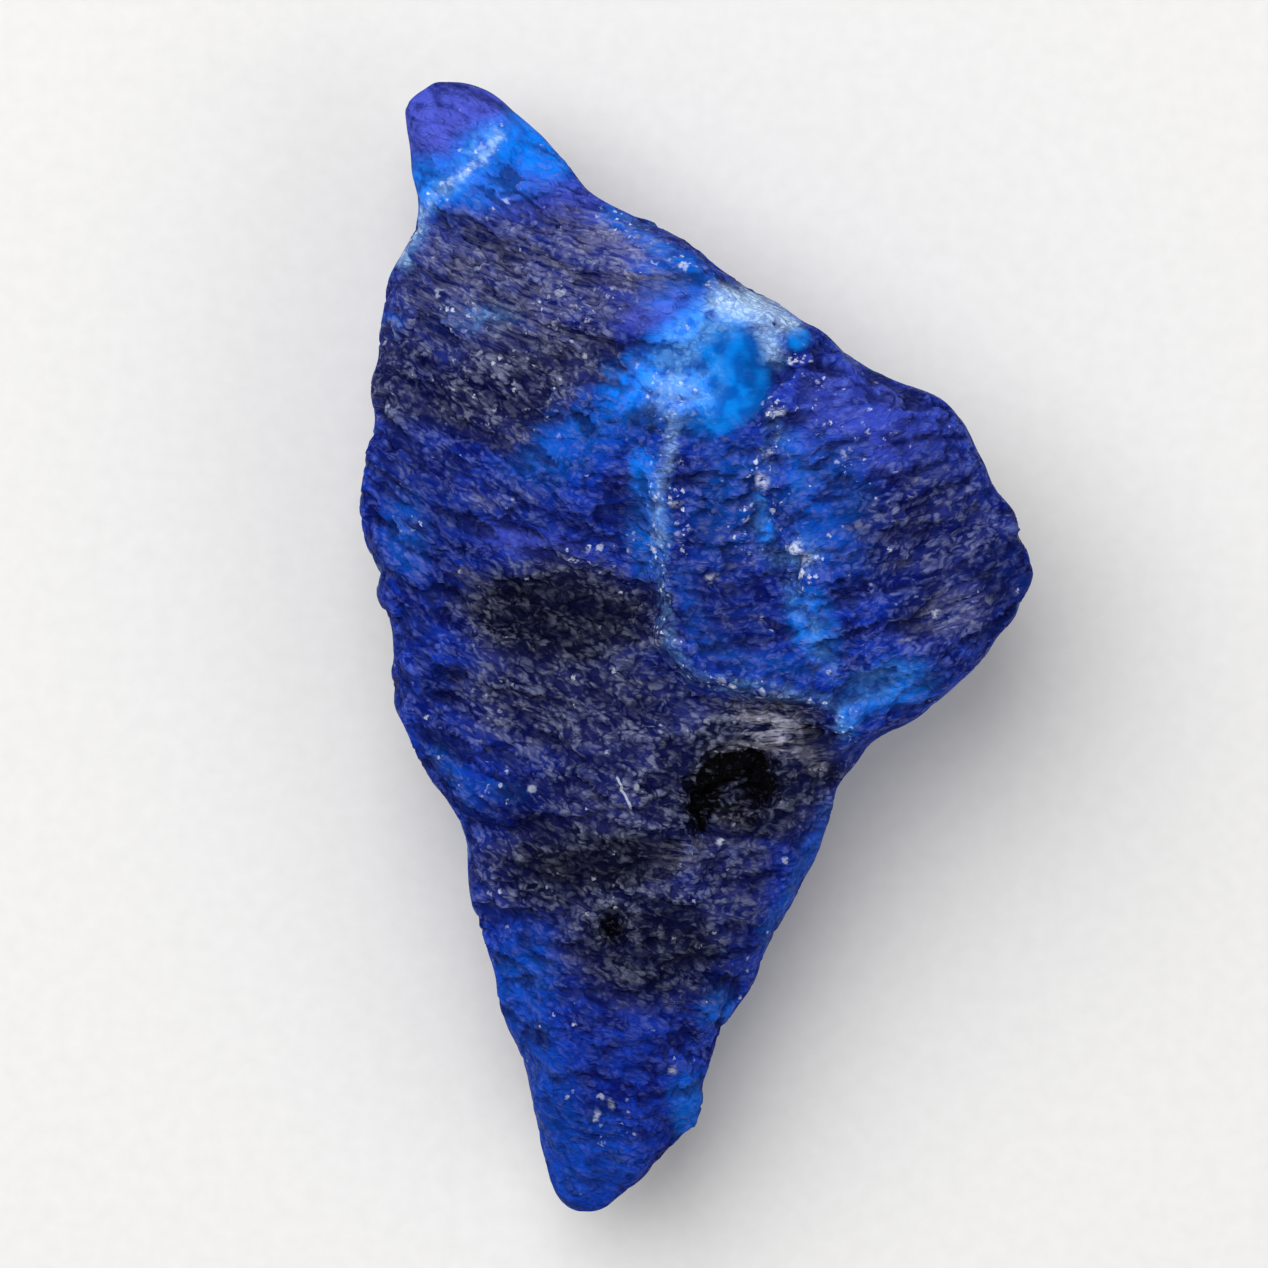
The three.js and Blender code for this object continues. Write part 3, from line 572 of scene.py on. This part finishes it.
def make_stone():
    points, triangles = solid_surface(NODE)
    for _ in range(SUBDIVISIONS):
        points, triangles = subdivided(points, triangles)
    normals = normals_of(points, triangles)
    flow = flow_of(points)
    masks = zone_masks(points, normals, flow)
    wall = 1 - smoothstep(*WALL_SLOPE, np.abs(normals[:, 2]))
    calm = WINDOW_CALM * masks["window"]
    for share, numbers in CALM:
        calm = np.maximum(calm, share * spot(points[:, 0], points[:, 1], **numbers))
    push = relief(flow, calm, wall)
    push[points[:, 2] < REST_HEIGHT] = 0
    low, high = (np.array(corner) / MM for corner in cad_box)
    fine = np.clip(points + normals * push[:, None], low, high)
    stone = mesh_object("stone", fine, triangles)
    store(stone.data, "flow", flow)
    store(stone.data, "crest", smoothstep(-CREST, CREST, push))
    store(stone.data, "smooth", calm)
    for zone, mask in masks.items():
        store(stone.data, zone, mask)
    stone.data.materials.append(stone_material())
    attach(stone, "root")
    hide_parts(NODE)


# ---------------------------------------------------------------------------------------------
# Materials


def srgb(red, green, blue):
    """A colour from its 0-255 screen values."""
    def linear(value):
        value /= 255
        return value / 12.92 if value <= 0.04045 else ((value + 0.055) / 1.055) ** 2.4
    return (linear(red), linear(green), linear(blue), 1.0)


ROYAL = srgb(10, 48, 160)
ROYAL_DEEP = srgb(3, 16, 96)
VIOLET = srgb(78, 90, 206)
AZURE = srgb(4, 128, 252)
WINDOW = srgb(0, 116, 210)
WINDOW_DEEP = srgb(0, 82, 170)
MATRIX = srgb(38, 45, 112)
MATRIX_DEEP = srgb(8, 12, 62)
MATRIX_BLACK = srgb(6, 7, 28)
# the colour of the painted shade
NIGHT = srgb(1, 2, 16)
# pale grey rock, with painted light on it
ASH_AND_HIGHLIGHT = srgb(176, 176, 194)
# painted sheen: the grey highlights on raised flakes, on the matrix and on the blue
SHEEN = srgb(118, 124, 152)
SHEEN_BLUE = srgb(92, 108, 190)
HAZE = srgb(104, 164, 226)
CREAM = srgb(180, 212, 246)
# pale grains, and painted glints
GRAIN_AND_GLINT = srgb(214, 222, 240)
# painted shadow: the black painted into the hollows
HOLLOW_SHADOW = srgb(0, 0, 2)
FLOOR_DARK = srgb(214, 213, 212)
FLOOR_LIGHT = srgb(224, 223, 222)

# Noise patterns of the material: scale per mm, detail, roughness and distortion
MOTTLE = (1.2, 3.0, 0.6, 0.6)
SPECKLE = (6.0, 3.0, 0.6, 0.0)
MIST = (1.7, 4.0, 0.6, 0.3)
FIBRE = (1.0, 2.0, 0.6, 0.6)
CURL = (2.4, 3.0, 0.55, 0.0)
DEPTHS = (0.8, 2.0, 0.5, 0.4)
FIBRE_STRETCH = (1.3, 5.0, 2.0)

# Flakes of the material: two sizes of cells, per mm, with bent borders
FLAKE_SCALE = 3.0
CHIP_SCALE = 5.2
FLAKE_BEND = {"scale": 2.2, "detail": 2.0, "reach": 0.5}
FLAKE_SQUEEZE = (1.5, 1.0, 1.0)  # flakes are less drawn out along the ripples than the mottling is
FLAKE_BODY = (0.7, 0.25)  # how far from its middle a flake ends, and where it is full
FLAKE_LEAST = 0.2  # the height of the lowest flake, where the highest is 1

# The value at which a pattern or a mask starts to bring something in, and the one where it is full
ROYAL_STEP = (0.36, 0.62)  # mottle
VIOLET_STEP = (0.2, 0.6)  # mottle
AZURE_STEP = (0.25, 0.6)  # mist
MATRIX_STEP = (0.38, 0.62)  # mottle
BLACK_STEP = (0.6, 1.0)  # the dark zone's mask
STONY_STEP = (0.15, 0.85)  # the dark zone's mask, broken by the mottle
TROUGH_SHADE_STEP = (0.15, 0.6)  # crest: below it the troughs get painted shade
STREAK_STEP = (0.4, 0.6)  # fibre
WINDOW_STEP = (0.4, 0.6)  # depths
HAZE_STEP = (0.34, 0.6)  # mist
CREAM_STEP = (0.24, 0.48)  # mist
GRAINY_STEP = (0.1, 0.6)  # chips, which make the haze and the cream grainy
HOLLOW_SHADOW_STEP = (0.05, 0.75)  # the mask of the hollows' painted shadow, broken by raised flakes
GLOSS_STEP = (0.5, 1.0)  # chips

# How strong the colours are: at most, or at least and at most
AZURE_SHARE = (0.5, 1.0)
BLACK_SHARE = 0.8
TROUGH_SHADE_SHARE = 0.65
STREAK_SHARE = (0.5, 1.0)
GRAINY_SHARE = (0.5, 1.0)
SHADE_SHARE = 0.75
BORDER_BREAK = 1.4  # how much the mottle breaks the matrix's border
HOLLOW_SHADOW_BREAK = 0.4  # and how much raised flakes break a hollow's painted shadow

# Painted sheen: pale grey highlights lie on raised flakes, and on crests more than in troughs
LIFT = {"curl": 0.35, "flake": 0.42, "chip": 0.48}  # what raises them
LIFT_CURL_STEP = (0.34, 0.62)
LIFT_STEP = (0.2, 0.95)
CREST_STEP = (0.1, 0.7)
CREST_SHARE = (0.3, 1.0)
SHEEN_SHARE = (0.5, 0.85)  # off the matrix, and on it
SMOOTH_SHARE = (1.0, 0.15)  # where the surface is rough, and where it is smooth

# Specks of two sizes, partly pale grains and partly painted glints: their cells per mm, and the
# share of the cells that hold one, outside the zones of grains and inside them
SPECKS = {"scale": 1.8, "share": (0.015, 0.35)}
BITS = {"scale": 3.6, "share": (0.03, 0.6)}
SPECK_SIZE = (0.25, 0.6)
SPECK_SHINE = (0.25, 0.9)
SPECK_EDGE = (0.0, 0.5)
SPECK_RAGGED = {"scale": 2.4, "detail": 1.0, "reach": 0.6}  # noise that frays their borders
SPECK_WORN = {"step": (0.4, 0.7), "depth": 0.5}  # and that wears them down
PALE_STEP = (0.2, 0.5)  # crest: specks don't lie in troughs
PALE_SHARE = (0.6, 1.0)  # outside the zones of grains, and inside them
LARGE_STEP = (0.35, 0.55)  # speckle, on the largest grains
LARGE_SHARE = 0.75

SCRATCH_FROM = (-3.1, -5.25, 0.0)  # a thin pale scratch, in mm, before it wavers
SCRATCH_TO = (-2.55, -6.5, 0.0)
SCRATCH_WIDTH = 0.07
SCRATCH_WAVER = 0.3
SCRATCH_SHARE = 0.5

# The bump's heights in mm, and how much lower it is in the smooth zones
BUMP = {"flake": 0.1, "curl": 0.28, "speckle": 0.14}
BUMP_CALM = {"window": 0.8, "azure": 0.5, "veins": 0.6}

ROUGHNESS = 0.7
GLOSS = 0.35  # how much less rough the glossiest chips are
REFRACTION = 1.5
SPECULAR = 0.04  # low, because the photo's stone has hardly any sheen

FLOOR_NOISE = (1400.0, 3.0)  # scale per m, and detail
FLOOR_ROUGHNESS = 0.9

# Where the Mix node keeps its colour sockets
COLOUR_A, COLOUR_B, COLOUR_RESULT = 6, 7, 2


class Nodes:
    """Short forms for building a node tree."""

    def __init__(self, material):
        material.use_nodes = True
        self.tree = material.node_tree
        self.shader = self.tree.nodes["Principled BSDF"]

    def add(self, kind, inputs=None, **settings):
        node = self.tree.nodes.new(kind)
        for name, value in settings.items():
            setattr(node, name, value)
        for name, value in (inputs or {}).items():
            self.put(node.inputs[name], value)
        return node

    def put(self, socket, value):
        if isinstance(value, bpy.types.NodeSocket):
            self.tree.links.new(value, socket)
        else:
            socket.default_value = value

    def attribute(self, name, output="Fac"):
        return self.add("ShaderNodeAttribute", attribute_name=name).outputs[output]

    def math(self, operation, *values, clamp=False):
        node = self.add("ShaderNodeMath", operation=operation, use_clamp=clamp)
        for socket, value in zip(node.inputs, values):
            self.put(socket, value)
        return node.outputs[0]

    def times(self, first, *others):
        for other in others:
            first = self.math("MULTIPLY", first, other)
        return first

    def mix_number(self, factor, first, second):
        return self.math("ADD", first, self.math("MULTIPLY", factor, second - first))

    def vector(self, operation, *values, output="Vector"):
        node = self.add("ShaderNodeVectorMath", operation=operation)
        for socket, value in zip(node.inputs, values):
            self.put(socket, value)
        return node.outputs[output]

    def scaled(self, vector, factor):
        return self.vector("MULTIPLY", vector, (factor, factor, factor))

    def mix(self, factor, first, second):
        node = self.add("ShaderNodeMix", data_type="RGBA")
        self.put(node.inputs["Factor"], factor)
        self.put(node.inputs[COLOUR_A], first)
        self.put(node.inputs[COLOUR_B], second)
        return node.outputs[COLOUR_RESULT]

    def noise(self, vector, scale, detail, roughness=0.5, distortion=0.0):
        values = {"Vector": vector, "Scale": scale, "Detail": detail, "Roughness": roughness,
                  "Distortion": distortion}
        return self.add("ShaderNodeTexNoise", values).outputs["Fac"]

    def step(self, value, low, high):
        """0 below low, 1 above high, smooth between."""
        node = self.add("ShaderNodeMapRange", interpolation_type="SMOOTHSTEP")
        for name, number in (("Value", value), ("From Min", low), ("From Max", high)):
            self.put(node.inputs[name], number)
        return node.outputs["Result"]

    def cells(self, vector):
        """Voronoi cells about one unit across, and three numbers from 0 to 1 for each."""
        cells = self.add("ShaderNodeTexVoronoi", {"Vector": vector, "Scale": 1.0})
        return cells, self.add("ShaderNodeSeparateColor", {"Color": cells.outputs["Color"]})

    def flakes(self, vector, scale):
        """Small flakes with soft borders, each with its own height: (height, a second number)."""
        cells, shades = self.cells(self.scaled(vector, scale))
        body = self.step(cells.outputs["Distance"], *FLAKE_BODY)
        height = self.times(body, self.mix_number(shades.outputs[0], FLAKE_LEAST, 1.0))
        return height, shades.outputs[1]

    def line(self, place, start, end, width):
        """1 on a straight line seen from above, 0 further than its half-width away."""
        along = Vector(end) - Vector(start)
        flat = self.vector("MULTIPLY", place, (1.0, 1.0, 0.0))
        away = self.vector("SUBTRACT", flat, start)
        part = self.vector("DOT_PRODUCT", away, tuple(along / along.length_squared), output="Value")
        part = self.math("MINIMUM", self.math("MAXIMUM", part, 0.0), 1.0)
        foot = self.add("ShaderNodeVectorMath", operation="SCALE")
        foot.inputs[0].default_value = along
        self.put(foot.inputs["Scale"], part)
        gap = self.vector("LENGTH", self.vector("SUBTRACT", away, foot.outputs[0]), output="Value")
        return self.step(gap, width, 0.5 * width)

    def specks(self, vector, scale, share):
        """Small pale specks, partly grains and partly painted glints, with ragged borders, in about
        this share of the cells, as a mask.
        """
        scaled = self.scaled(vector, scale)
        noise = self.add("ShaderNodeTexNoise", {
            "Vector": scaled, "Scale": SPECK_RAGGED["scale"], "Detail": SPECK_RAGGED["detail"]})
        ragged = self.scaled(noise.outputs["Color"], SPECK_RAGGED["reach"])
        cells, chance = self.cells(self.vector("ADD", scaled, ragged))
        chosen = self.math("LESS_THAN", chance.outputs[0], share)
        size = self.mix_number(chance.outputs[1], *SPECK_SIZE)
        inside = self.math("SUBTRACT", 1.0, self.math("DIVIDE", cells.outputs["Distance"], size))
        worn = self.times(self.step(noise.outputs["Fac"], *SPECK_WORN["step"]), SPECK_WORN["depth"])
        inside = self.math("SUBTRACT", inside, worn)
        shine = self.mix_number(chance.outputs[2], *SPECK_SHINE)
        return self.times(self.step(inside, *SPECK_EDGE), chosen, shine)


def stone_colour(nodes, zones, patterns, lift):
    """The stone's colour without its specks, from its ground to the painted shadow in the hollows,
    with painted shade in the troughs and painted sheen on raised flakes.
    """
    times, step, mix_number = nodes.times, nodes.step, nodes.mix_number
    mottle, mist, crest = patterns["mottle"], patterns["mist"], patterns["crest"]

    colour = nodes.mix(step(mottle, *ROYAL_STEP), ROYAL_DEEP, ROYAL)
    colour = nodes.mix(times(zones["violet"], step(mottle, *VIOLET_STEP)), colour, VIOLET)
    clear = mix_number(step(mist, *AZURE_STEP), *AZURE_SHARE)
    colour = nodes.mix(times(zones["azure"], clear), colour, AZURE)

    matrix = nodes.mix(step(mottle, *MATRIX_STEP), MATRIX_DEEP, MATRIX)
    black = times(step(zones["dark"], *BLACK_STEP), BLACK_SHARE)
    matrix = nodes.mix(black, matrix, MATRIX_BLACK)
    border = times(nodes.math("SUBTRACT", mottle, 0.5), BORDER_BREAK)
    stony = step(nodes.math("ADD", zones["dark"], border), *STONY_STEP)
    colour = nodes.mix(stony, colour, matrix)
    # painted shade: the relief's troughs are darkened towards MATRIX_DEEP
    trough_shade = nodes.mix(TROUGH_SHADE_SHARE, colour, MATRIX_DEEP)
    colour = nodes.mix(step(crest, *TROUGH_SHADE_STEP), trough_shade, colour)

    crested = mix_number(step(crest, *CREST_STEP), *CREST_SHARE)
    sheen = times(lift, crested, mix_number(stony, *SHEEN_SHARE))
    sheen = times(sheen, mix_number(patterns["smooth"], *SMOOTH_SHARE))
    colour = nodes.mix(sheen, colour, nodes.mix(stony, SHEEN_BLUE, SHEEN))
    streaks = times(step(patterns["fibre"], *STREAK_STEP), mix_number(lift, *STREAK_SHARE))
    # pale grey rock and painted light, in streaks on raised flakes
    colour = nodes.mix(times(zones["ash_and_highlight"], streaks), colour, ASH_AND_HIGHLIGHT)

    glass = nodes.mix(step(patterns["depths"], *WINDOW_STEP), WINDOW_DEEP, WINDOW)
    colour = nodes.mix(zones["window"], colour, glass)
    grainy = mix_number(step(patterns["chip"], *GRAINY_STEP), *GRAINY_SHARE)
    colour = nodes.mix(times(zones["haze"], step(mist, *HAZE_STEP), grainy), colour, HAZE)
    colour = nodes.mix(times(zones["white"], step(mist, *CREAM_STEP), grainy), colour, CREAM)
    # painted shade: the shade zone darkens the colour towards NIGHT
    colour = nodes.mix(times(zones["shade"], SHADE_SHARE), colour, NIGHT)
    # painted shadow: the hollows go black, except where raised flakes poke through
    empty = nodes.math("SUBTRACT", zones["hollow"], times(lift, HOLLOW_SHADOW_BREAK))
    return nodes.mix(step(empty, *HOLLOW_SHADOW_STEP), colour, HOLLOW_SHADOW)


def pale_specks(nodes, zones, patterns, place, warp):
    """A mask of the specks (partly pale grains, partly painted glints), the large grains and the
    scratch.
    """
    times, mix_number = nodes.times, nodes.mix_number
    covered = nodes.math("MAXIMUM", zones["hollow"], zones["window"])
    bare = nodes.math("SUBTRACT", 1.0, covered, clamp=True)
    specks, bits = (
        nodes.specks(place, size["scale"], mix_number(zones["grains"], *size["share"]))
        for size in (SPECKS, BITS))
    raised = nodes.step(patterns["crest"], *PALE_STEP)
    pale = times(nodes.math("MAXIMUM", specks, bits), raised, bare)
    pale = times(pale, mix_number(zones["grains"], *PALE_SHARE))
    wavering = nodes.vector("ADD", place, nodes.scaled(warp, SCRATCH_WAVER))
    scratch = nodes.line(wavering, SCRATCH_FROM, SCRATCH_TO, SCRATCH_WIDTH)
    pale = nodes.math("MAXIMUM", pale, times(scratch, SCRATCH_SHARE))
    large = times(zones["grain"], nodes.step(patterns["speckle"], *LARGE_STEP), LARGE_SHARE)
    return nodes.math("MAXIMUM", pale, large)


def stone_bump(nodes, zones, patterns):
    """The normal, from the flakes, the curls and the speckle, calmer in the smooth zones."""
    times = nodes.times
    height = 0.0
    for name, most in BUMP.items():
        height = nodes.math("ADD", height, times(patterns[name], most))
    veins = nodes.math("MAXIMUM", zones["haze"], zones["white"])
    for calm, name in ((zones["window"], "window"), (zones["azure"], "azure"), (veins, "veins")):
        height = times(height, nodes.math("SUBTRACT", 1.0, times(calm, BUMP_CALM[name])))
    bump = nodes.add("ShaderNodeBump", {"Strength": 1.0, "Distance": MM, "Height": height})
    return bump.outputs["Normal"]


def stone_material():
    material = bpy.data.materials.new("hauyne")
    nodes = Nodes(material)
    times, step = nodes.times, nodes.step
    zones = {zone: nodes.attribute(zone) for zone in ZONES}
    flow = nodes.attribute("flow", "Vector")
    place = nodes.scaled(nodes.add("ShaderNodeTexCoord").outputs["Object"], 1 / MM)
    warp = nodes.add("ShaderNodeTexNoise", {
        "Vector": flow, "Scale": FLAKE_BEND["scale"], "Detail": FLAKE_BEND["detail"],
    }).outputs["Color"]
    bent = nodes.vector("ADD", flow, nodes.scaled(warp, FLAKE_BEND["reach"]))
    bent = nodes.vector("MULTIPLY", bent, FLAKE_SQUEEZE)
    flake, _ = nodes.flakes(bent, FLAKE_SCALE)
    chip, chip_gloss = nodes.flakes(bent, CHIP_SCALE)
    patterns = {
        "crest": nodes.attribute("crest"),
        "smooth": nodes.attribute("smooth"),
        "mottle": nodes.noise(flow, *MOTTLE),
        "speckle": nodes.noise(flow, *SPECKLE),
        "mist": nodes.noise(place, *MIST),
        "fibre": nodes.noise(nodes.vector("MULTIPLY", flow, FIBRE_STRETCH), *FIBRE),
        "curl": nodes.noise(bent, *CURL),
        "depths": nodes.noise(place, *DEPTHS),
        "flake": flake,
        "chip": chip,
    }

    curled = times(step(patterns["curl"], *LIFT_CURL_STEP), LIFT["curl"])
    lift = nodes.math("ADD", curled, times(flake, LIFT["flake"]))
    lift = step(nodes.math("ADD", lift, times(chip, LIFT["chip"])), *LIFT_STEP)
    colour = stone_colour(nodes, zones, patterns, lift)
    pale = pale_specks(nodes, zones, patterns, place, warp)
    gloss = times(step(chip_gloss, *GLOSS_STEP), GLOSS)

    nodes.put(nodes.shader.inputs["Base Color"], nodes.mix(pale, colour, GRAIN_AND_GLINT))
    nodes.put(nodes.shader.inputs["Roughness"], nodes.math("SUBTRACT", ROUGHNESS, gloss))
    nodes.put(nodes.shader.inputs["Normal"], stone_bump(nodes, zones, patterns))
    nodes.shader.inputs["IOR"].default_value = REFRACTION
    nodes.shader.inputs["Specular IOR Level"].default_value = SPECULAR
    return material


def floor_material():
    material = bpy.data.materials.new("floor")
    nodes = Nodes(material)
    place = nodes.add("ShaderNodeTexCoord").outputs["Object"]
    grain = nodes.noise(place, *FLOOR_NOISE)
    nodes.put(nodes.shader.inputs["Base Color"], nodes.mix(grain, FLOOR_DARK, FLOOR_LIGHT))
    nodes.shader.inputs["Roughness"].default_value = FLOOR_ROUGHNESS
    return material


# ---------------------------------------------------------------------------------------------
# Stage, light and camera

FLOOR_HALF = 1.5  # half the floor's width, in m
VIEW_WIDTH = 52.83 * MM  # what the picture takes in, at the height of the stone's edges
VIEW_CENTRE = Vector((-2.56 * MM, 0.58 * MM, 7.5 * MM))
VIEW_DISTANCE = 0.5
SENSOR = 36.0
CLIP = (0.01, 10.0)  # the nearest and the furthest that the camera sees, in m
LIGHT_DISTANCE = 0.6
KEY = {"direction": Vector((-0.44, 0.54, 1.05)), "power": 4.2, "size": 0.7}
FILL = {"direction": Vector((0.75, -0.4, 0.6)), "power": 0.8, "size": 0.5}
SKY = 0.44


def make_floor():
    mesh = bpy.data.meshes.new("floor")
    corners = [(-1, -1), (1, -1), (1, 1), (-1, 1)]
    points = [(FLOOR_HALF * x, FLOOR_HALF * y, 0) for x, y in corners]
    mesh.from_pydata(points, [], [(0, 1, 2, 3)])
    floor = bpy.data.objects.new("floor", mesh)
    bpy.context.scene.collection.objects.link(floor)
    mesh.materials.append(floor_material())


def make_light(name, direction, power, size):
    data = bpy.data.lights.new(name, "AREA")
    data.shape = "DISK"
    data.size = size
    data.energy = power
    light = bpy.data.objects.new(name, data)
    light.location = direction.normalized() * LIGHT_DISTANCE
    light.rotation_euler = (-direction).to_track_quat("-Z", "Y").to_euler()
    bpy.context.scene.collection.objects.link(light)


def make_sky():
    world = bpy.data.worlds.new("sky")
    world.use_nodes = True
    background = world.node_tree.nodes["Background"]
    background.inputs["Color"].default_value = (1.0, 1.0, 1.0, 1.0)
    background.inputs["Strength"].default_value = SKY
    bpy.context.scene.world = world


def make_camera():
    data = bpy.data.cameras.new("camera")
    data.sensor_width = SENSOR
    data.lens = SENSOR * VIEW_DISTANCE / VIEW_WIDTH
    data.clip_start, data.clip_end = CLIP
    camera = bpy.data.objects.new("camera", data)
    camera.location = VIEW_CENTRE + Vector((0, 0, VIEW_DISTANCE))
    bpy.context.scene.collection.objects.link(camera)
    bpy.context.scene.camera = camera


make_camera()
make_sky()
make_light("key", **KEY)
make_light("fill", **FILL)
make_floor()
make_stone()
bpy.context.scene.view_settings.view_transform = "Standard"
